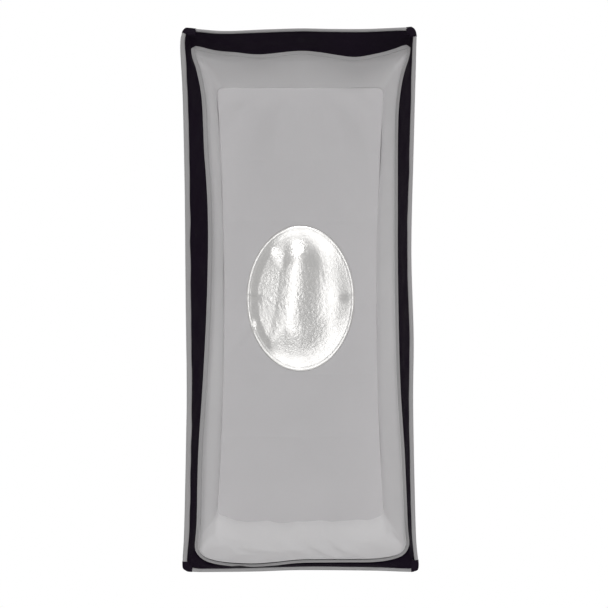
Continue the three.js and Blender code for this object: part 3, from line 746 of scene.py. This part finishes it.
def baffle_relief(x, z):
    """How far the panel stands towards the front."""
    relief = 0.0
    for level, rise in FOLD_CREASES:
        wander = level + 0.0022 * ripple(x * 7, level * 40, 0, 10)
        strength = 0.55 + 0.45 * ripple(x * 11, level * 90, 0, 11)
        relief += rise * strength * exp(-(((z - wander) / CREASE_HALF) ** 2))
        relief += 0.8 * rise * exp(-(((z - wander) / (5 * CREASE_HALF)) ** 2))
    upper = smooth_step(0.02, 0.14, z) * smooth_step(0, 0.05, BAFFLE_TOP - z)
    fall = max(0.02, BAFFLE_TOP + 0.12 - z)
    fan = 0.0034 * sin(9.0 * x / fall * 1.25 + 0.7) * upper * smooth_step(0.0, 0.25, abs(x) / fall)
    lower = smooth_step(0.0, 0.25, -z)
    soft = 0.0020 * ripple(x * 5, z * 3.2, 0, 12) + 0.0010 * lower * ripple(x * 17, z * 6, 0, 13)
    slant = x * 0.78 - z * 0.62 + 0.050
    low_fold = 0.0022 * exp(-((slant / 0.010) ** 2)) * smooth_step(0.05, 0.09, -x)
    low_fold *= smooth_step(-0.02, -0.06, z) * smooth_step(-0.20, -0.10, z)
    border = smooth_step(0.0, 0.05, baffle_half_width(z) - abs(x))
    hem = smooth_step(0.0, 0.05, min(BAFFLE_TOP - z, z - BAFFLE_BOTTOM))
    return relief + (fan + soft + low_fold) * (0.25 + 0.75 * border) * hem


def flat_sheet(name, columns, rows, place, wide, deep, solid=CLOTH):
    bm = bmesh.new()
    uv = bm.loops.layers.uv.new("UVMap")
    bmesh.ops.create_grid(bm, x_segments=columns, y_segments=rows, size=0.5)
    for face in bm.faces:
        for loop in face.loops:
            loop[uv].uv = ((loop.vert.co.x + 0.5) * wide, (loop.vert.co.y + 0.5) * deep)
    for vert in bm.verts:
        vert.co = place(vert.co.x + 0.5, vert.co.y + 0.5)
    bmesh.ops.remove_doubles(bm, verts=bm.verts, dist=1e-6)
    bmesh.ops.recalc_face_normals(bm, faces=bm.faces)
    piece = make_object(name, bm)
    if solid:
        wall = piece.modifiers.new("cloth", "SOLIDIFY")
        wall.thickness = solid
        wall.offset = 0
    return piece


def baffle_point(u, v):
    z = BAFFLE_BOTTOM + (BAFFLE_TOP - BAFFLE_BOTTOM) * v
    x = (2 * u - 1) * baffle_half_width(z)
    inside = 1 - hypot(x / MASK_X, (z - MASK_CENTRE_Z) / MASK_Z)
    sunk = BEHIND_MASK * smooth_step(0.02, 0.2, inside)
    return Vector((x, BAFFLE_Y + 0.0004 - baffle_relief(x, z) + sunk, z))


baffle_cloth = cloth_material(
    "baffle_cloth", (0.575, 0.563, 0.573), (0.665, 0.652, 0.662), pitch=0.0008, thread_depth=0.00005,
    crease_size=0.12, crease_depth=0.0005, Roughness=0.75, Sheen_Weight=0.08)

baffle = flat_sheet("baffle_panel", BAFFLE_COLUMNS, BAFFLE_ROWS, baffle_point, 0.34, 0.88)
baffle.data.materials.append(baffle_cloth)
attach(baffle, "baffle")
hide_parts("inner_baffle")

# ---- silver centre mask ----
# An oval of crinkled silver-faced cloth, its edge turned under and sewn to the baffle 5.5 mm in. It
# spreads the light from the middle, and is dented where the panel was folded.

MASK_SPOKES, MASK_RINGS = 240, 90
FOLD_LENGTH, FOLD_HEIGHT = 0.134, 0.0024
SEAM_INSET = 0.0055
RING_POWER = 1.25


def crinkle(x, z):
    """Wide upright folds, which catch the light, and the fine crinkle of the foil face."""
    low, high = smooth_step(0.0, -0.12, z), smooth_step(0.0, 0.12, z)
    length = FOLD_LENGTH * (1 + 0.45 * low - 0.22 * high)
    centre = -0.015 - 0.007 * low + 0.008 * high
    wander = x - centre + 0.008 * ripple(z * 11, 0, 0, 16) + 0.003 * ripple(z * 30, x * 9, 0, 17)
    phase = 2 * pi * wander / length
    left_edge = -MASK_X * sqrt(max(0.0, 1 - (z / MASK_Z) ** 2))
    lift = 0.7 * max(0.0, -pi / 2 - 2 * pi * (left_edge - centre) / length)
    wave = lift + (cos(phase) if phase > -pi / 2 else 0.7 * (phase + pi / 2))
    side_folds = 0.0007 * ripple(x * 34, z * 15, 0, 18) * smooth_step(0.05, 0.08, x)
    fine = 0.0002 * ripple(wander * 26, z * 5, 0, 19) + 0.00010 * ripple(x * 190, z * 150, 0, 14)
    return FOLD_HEIGHT * wave + side_folds + fine


def mask_point(u, v):
    angle = 2 * pi * u
    share = (1 - v) ** RING_POWER
    x = MASK_X * share * cos(angle)
    z = MASK_Z * share * sin(angle)
    inset = (1 - share) * (MASK_X + MASK_Z) / 2
    rise = 0.0016 * smooth_step(0.0, 0.0016, inset)
    seam = 0.0004 * exp(-(((inset - SEAM_INSET) / 0.0009) ** 2))
    ease = 0.066 - 0.044 * smooth_step(-0.030, -0.065, x)
    inner = smooth_step(SEAM_INSET, SEAM_INSET + ease, inset)
    pillow = 0.0005 * inner
    dent = 0.0016 * exp(-((z / 0.0075) ** 2)) * (smooth_step(0.075, 0.104, abs(x)) + 0.012)
    z += MASK_CENTRE_Z
    edge = 0.0006 + rise - seam - dent
    front = edge + baffle_relief(x, z) * (1 - 0.75 * inner) + pillow + crinkle(x, z) * (0.12 + 0.88 * inner)
    return Vector((x, BAFFLE_Y - front, z))


def silver_material():
    material, tree, shader = principled("silver_cloth", Metallic=0.42, Roughness=0.17)
    spot = tree.nodes.new("ShaderNodeTexCoord")
    cells = tree.nodes.new("ShaderNodeTexVoronoi")
    cells.feature = "F1"
    cells.inputs["Scale"].default_value = 400
    tree.links.new(spot.outputs["Object"], cells.inputs["Vector"])
    flecks = place_group(tree, crumple, Place=spot.outputs["Object"], Size=0.011, Sharpness=1.4)
    mixed = math_node(tree, "MULTIPLY_ADD", cells.outputs["Distance"], 0.5, flecks.outputs["Height"])
    tone = tree.nodes.new("ShaderNodeValToRGB")
    tone.color_ramp.elements[0].color = (0.80, 0.79, 0.775, 1)
    tone.color_ramp.elements[0].position = 0.25
    tone.color_ramp.elements[1].color = (1.0, 0.99, 0.975, 1)
    tone.color_ramp.elements[1].position = 0.9
    tree.links.new(mixed, tone.inputs[0])
    tree.links.new(tone.outputs[0], shader.inputs["Base Color"])
    bump = tree.nodes.new("ShaderNodeBump")
    bump.inputs["Distance"].default_value = 0.00024
    tree.links.new(mixed, bump.inputs["Height"])
    tree.links.new(bump.outputs[0], shader.inputs["Normal"])
    return material


mask = flat_sheet("silver_mask", MASK_SPOKES, MASK_RINGS, mask_point, 0.82, 0.13, solid=None)
mask.data.materials.append(silver_material())
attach(mask, "baffle")
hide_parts("center_mask")

# ---- mask stitching ----
# One row of pale lock stitches round the oval, 4 mm apart, through its turned-under edge.

STITCH_PITCH, STITCH_LENGTH = 0.0040, 0.0027
THREAD_RADIUS = 0.00028
SEAM_SAMPLES = 1640


def stitch_row(name, points):
    """A row of short threads along a run of points, each lying on its chord."""
    bm = bmesh.new()
    travelled = 0.0
    for a, b in zip(points, points[1:]):
        travelled += (b - a).length
        if travelled < STITCH_PITCH:
            continue
        travelled -= STITCH_PITCH
        turn = (b - a).to_track_quat("Z", "Y").to_matrix().to_4x4()
        turn.translation = b
        made = bmesh.ops.create_cone(
            bm, segments=6, radius1=THREAD_RADIUS, radius2=THREAD_RADIUS, depth=STITCH_LENGTH, cap_ends=True,
            matrix=turn)
        bmesh.ops.bevel(bm, geom=made["verts"], offset=THREAD_RADIUS * 0.4, affect="VERTICES", segments=1)
    return make_object(name, bm)


seam_v = 1 - (1 - 2 * SEAM_INSET / (MASK_X + MASK_Z)) ** (1 / RING_POWER)
around = [mask_point(i / SEAM_SAMPLES, seam_v) + Vector((0, -0.0002, 0)) for i in range(SEAM_SAMPLES + 1)]
stitches = stitch_row("mask_stitches", around)
thread, thread_tree, thread_shader = principled("thread", Roughness=0.6)
twist = thread_tree.nodes.new("ShaderNodeTexNoise")
twist.inputs["Scale"].default_value = 900
shade = thread_tree.nodes.new("ShaderNodeMapRange")
shade.inputs["To Min"].default_value = 0.42
shade.inputs["To Max"].default_value = 0.62
thread_tree.links.new(twist.outputs["Fac"], shade.inputs["Value"])
thread_tree.links.new(shade.outputs[0], thread_shader.inputs["Base Color"])
stitches.data.materials.append(thread)
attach(stitches, "baffle")

# ---- rim binding and corner pockets ----
# Grey tape folded over the rim's raw edge and stitched through; more of it shows on the upright
# sides. Black cloth pockets at the corners take the rod tips and cover the tape there.

BINDING_WIDTH = {0: 0.0048, 1: 0.0072, 2: 0.0052, 3: 0.0092}
BINDING_DEPTH = 0.0065
U_POINTS = 20


def folded_edge(place, inward, v, width, proud):
    """A point of a strip folded over the rim: from inside the box, round the front, to outside."""
    turn = pi * v
    bulge = abs(sin(turn)) ** 0.45
    across = width / 2 * (1 + cos(turn) * (1 + 0.1 * bulge))
    seam = 0.0006 * exp(-(((v - 0.36) / 0.035) ** 2))
    y = rim_y + BINDING_DEPTH * (1 - bulge) - proud + seam
    across += proud * cos(turn)
    return Vector((place.x + inward.x * across, y, place.y + inward.y * across))


def binding_point(column, v):
    side, share = column
    place, along, inward = rim.frame(rim.way_of(column))
    width = BINDING_WIDTH[side]
    width += (BINDING_WIDTH[(side + 1) % 4] - width) / 2 * smooth_step(0.93, 1.0, share)
    width += (BINDING_WIDTH[(side - 1) % 4] - width) / 2 * smooth_step(0.07, 0, share)
    width *= 1 + 0.12 * ripple(place.x * 22, place.y * 22, 0, 20)
    return folded_edge(place, inward, v, width, 0.0)


binding = wrapped_sheet("rim_binding", U_POINTS, binding_point, 3.0, 0.022)
binding.data.materials.append(grey_tape)
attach(binding, "softbox")
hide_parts("rim_binding_top", "rim_binding_bottom", "rim_binding_left", "rim_binding_right")

POCKET_LEG = {"level": 0.013, "upright": 0.009}
POCKET_WIDTH = 0.0125
CORNER_ORDER = {1: 1, 2: 0, 3: 3, 4: 2}


def corner_pocket(number):
    corner = rim.corners[CORNER_ORDER[number]]
    after = POCKET_LEG["level" if CORNER_ORDER[number] % 2 == 0 else "upright"]
    before = POCKET_LEG["upright" if CORNER_ORDER[number] % 2 == 0 else "level"]

    def point(u, v):
        place, along, inward = rim.frame(corner - before + (before + after + 0.010) * u, reach=0.003)
        flare = 0.0004 + 0.0005 * sin(pi * u)
        return folded_edge(place, inward, v, POCKET_WIDTH, flare)

    return flat_sheet(f"corner_pocket_cloth_{number}", 26, U_POINTS, point, 0.03, 0.03)


for number in range(1, 5):
    pocket = corner_pocket(number)
    pocket.data.materials.append(lip_cloth)
    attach(pocket, "softbox")
    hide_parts(f"corner_pocket_{number}")

# ---- rear flaps ----
# Four tapering flaps of the shell's nylon close the back round the speedring. Each is hemmed and
# hangs from the wall's rear edge.

FLAP_CLOTH = 0.0009
FLAP_SINK = 0.0016
FLAP_END = 0.068


def flap_sheet(name, node):
    low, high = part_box(node)
    centre = (low + high) / 2
    level = abs(centre.z) > abs(centre.x)
    if level:
        outward, across = Vector((0, 0, 1 if centre.z > 0 else -1)), Vector((1, 0, 0))
    else:
        outward, across = Vector((1 if centre.x > 0 else -1, 0, 0)), Vector((0, 0, 1))
    wide = (high - low).dot(across) / 2
    reaches = sorted(abs(corner.dot(outward)) for corner in (low, high))
    tip, root = reaches if level else reversed(reaches)
    length = hypot(high.y - low.y, root - tip)

    def point(u, v):
        s = 2 * u - 1
        half = wide + (FLAP_END / 2 - wide) * v
        edge = (1 - abs(s)) * half
        hem = 0.0006 * smooth_step(0.010, 0.009, min(edge, (1 - v) * length))
        pucker = 0.0016 * ripple(s * 3, v * 2.2, centre.x * 40 + centre.z * 20, 21)
        pucker += 0.0012 * ripple(s * 9, v * 1.4, centre.x * 40 + centre.z * 20, 22) * v
        calm = smooth_step(0, 0.1, v)
        place = across * (s * half) + outward * (root + (tip - root) * v)
        place.y = low.y + (high.y - low.y) * v
        normal = (outward * (high.y - low.y) + Vector((0, root - tip, 0))).normalized()
        return place + normal * (hem - FLAP_SINK / 2 + pucker * calm * 0.8)

    return flat_sheet(name, 60, 44, point, 2 * wide, length, solid=FLAP_CLOTH)


for side in ("top", "bottom", "left", "right"):
    flap = flap_sheet(f"flap_cloth_{side}", f"rear_flap_{side}")
    flap.data.materials.append(black_nylon)
    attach(flap, f"flap_{side}")
    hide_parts(f"rear_flap_{side}")

# ---- baffle tabs ----
# Short ribbed black elastic tabs, sewn to the baffle, which hold it to the lining.

TAB_THICKNESS = 0.001


def tab_point(number):
    low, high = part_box(f"baffle_tab_{number}")

    def point(u, v):
        x = low.x + (high.x - low.x) * u
        z = low.z + (high.z - low.z) * v
        rib = 0.00015 * sin(2 * pi * u * 6)
        return Vector((x, (low.y + high.y) / 2 + rib + 0.0006 * sin(pi * v), z))

    return point


for number in range(1, 5):
    tab = flat_sheet(f"elastic_tab_{number}", 24, 30, tab_point(number), 0.010, 0.030, solid=TAB_THICKNESS)
    tab.data.materials.append(black_nylon)
    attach(tab, "baffle")
    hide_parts(f"baffle_tab_{number}")

# ---- metal, plastic and rods ----
# The cast aluminium speedring and rod sockets, the turned steel insert and studs, black moulded
# knobs and rod tips, nylon shoes, and pale fibreglass rods.


def solid_material(name, dark, light, grain, depth, stretch=(1, 1, 1), **sockets):
    """Hard surface: a slow change of tone and fine grain, from the place on the piece."""
    material, tree, shader = principled(name, **sockets)
    spot = tree.nodes.new("ShaderNodeTexCoord")
    turn = tree.nodes.new("ShaderNodeMapping")
    turn.inputs["Scale"].default_value = stretch
    tree.links.new(spot.outputs["Object"], turn.inputs["Vector"])
    noise_node = tree.nodes.new("ShaderNodeTexNoise")
    noise_node.inputs["Scale"].default_value = grain
    noise_node.inputs["Detail"].default_value = 6
    tree.links.new(turn.outputs[0], noise_node.inputs["Vector"])
    colour = tree.nodes.new("ShaderNodeMix")
    colour.data_type = "RGBA"
    colour.inputs["A"].default_value = (*dark, 1)
    colour.inputs["B"].default_value = (*light, 1)
    tree.links.new(noise_node.outputs["Fac"], colour.inputs["Factor"])
    tree.links.new(colour.outputs["Result"], shader.inputs["Base Color"])
    bump = tree.nodes.new("ShaderNodeBump")
    bump.inputs["Distance"].default_value = depth
    tree.links.new(noise_node.outputs["Fac"], bump.inputs["Height"])
    tree.links.new(bump.outputs[0], shader.inputs["Normal"])
    return material


cast = solid_material("cast_aluminium", (0.50, 0.51, 0.52), (0.66, 0.67, 0.68), 420, 0.0002,
                      Metallic=1.0, Roughness=0.42)
turned = solid_material("turned_steel", (0.52, 0.52, 0.53), (0.70, 0.70, 0.71), 90, 0.00006, (1, 14, 1),
                        Metallic=1.0, Roughness=0.26)
moulded = solid_material("moulded_black", (0.011, 0.011, 0.012), (0.022, 0.022, 0.024), 900, 0.00012,
                         Roughness=0.48)
glass_rod = solid_material("fibreglass", (0.50, 0.47, 0.38), (0.66, 0.63, 0.54), 60, 0.0001, (12, 1, 12),
                           Roughness=0.4)
nylon = solid_material("white_nylon", (0.62, 0.60, 0.55), (0.72, 0.70, 0.66), 200, 0.0001, Roughness=0.5)

HARD_PARTS = {
    cast: ["speedring"] + [f"rod_socket_{number}" for number in range(1, 5)],
    turned: (["bayonet_insert", "lock_stud_right", "lock_stud_left"]
             + [f"set_screw_{number}" for number in range(1, 4)]),
    moulded: ["lock_knob_right", "lock_knob_left"] + [f"rod_tip_{number}" for number in range(1, 5)],
    nylon: ["lock_shoe_right", "lock_shoe_left"],
    glass_rod: [f"rod_{number}" for number in range(1, 5)],
}
for material, names in HARD_PARTS.items():
    for name in names:
        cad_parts[name].material_slots[0].material = material
